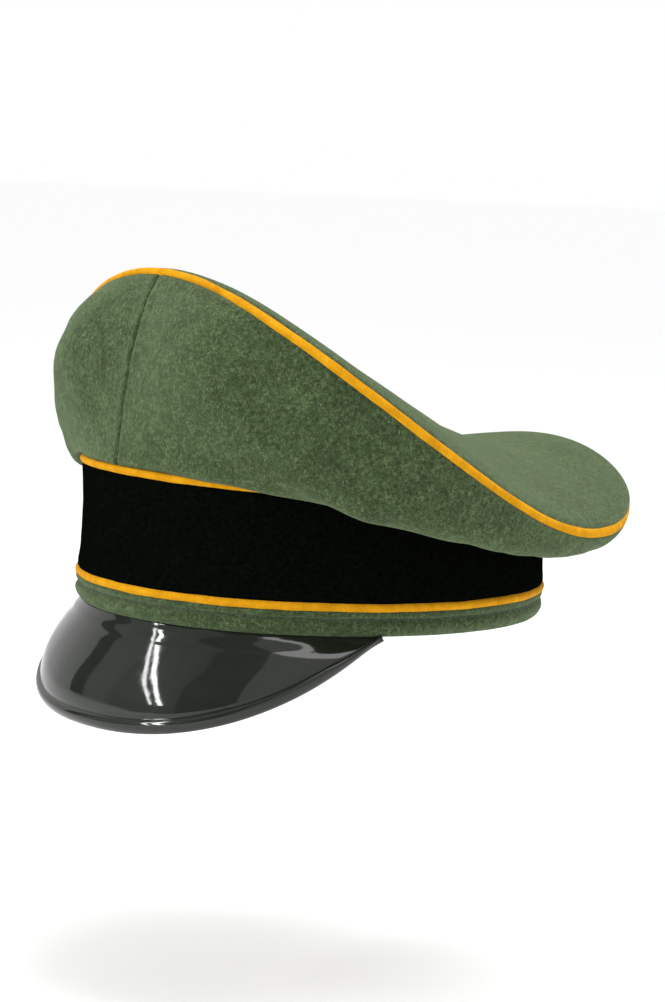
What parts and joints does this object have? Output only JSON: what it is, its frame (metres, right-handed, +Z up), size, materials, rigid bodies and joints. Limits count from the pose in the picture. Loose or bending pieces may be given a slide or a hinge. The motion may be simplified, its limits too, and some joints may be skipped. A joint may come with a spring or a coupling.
{
  "type": "peaked cap",
  "caption": "Officer-style peaked cap: high-fronted saddle crown with coloured pipings, plain dark band, cloth-bound lower edge and a steep glossy visor.",
  "frame": {"origin": "centre of the head opening, in the plane of the band's lower edge", "axes": "+Z up through the crown, -Y to the front over the visor, +X to the wearer's left"},
  "size_m": [0.2448, 0.2494, 0.1831],
  "materials": {
    "crown_cloth": "mottled milled wool",
    "piping": "piping cloth over cord",
    "band_cloth": "matt black wool",
    "visor_gloss": "polished lacquered fibre",
    "visor_under": "embossed tan",
    "fibre_board": "raw vulcanised fibre",
    "sweat_leather": "smooth tan leather",
    "reed_cloth": "waxed cloth",
    "lining": "satin weave",
    "clear_shield": "clear sheet",
    "canvas": "open woven hair canvas",
    "wadding": "cotton wadding",
    "steel_wire": "drawn wire",
    "brass_ferrule": "crimped tube",
    "thread": "sewing thread"
  },
  "bodies": {
    "root": {"top_panel": "crown_cloth", "crown_side_left": "crown_cloth", "crown_side_right": "crown_cloth", "crown_piping": "piping", "upper_band_piping": "piping", "lower_band_piping": "piping", "cap_band": "band_cloth", "bottom_binding": "crown_cloth", "visor": "visor_gloss", "visor_lining": "visor_under", "band_stiffener": "fibre_board", "sweatband": "sweat_leather", "sweatband_reed": "reed_cloth", "lining_side": "lining", "lining_top": "lining", "sweat_shield": "clear_shield", "side_interlining_left": "canvas", "side_interlining_right": "canvas", "top_interlining": "canvas", "front_stay": "fibre_board", "front_pad": "wadding", "hoop_wire": "steel_wire", "hoop_ferrule": "brass_ferrule", "binding_stitching": "thread", "visor_stitching": "thread"}
  },
  "joints": []
}
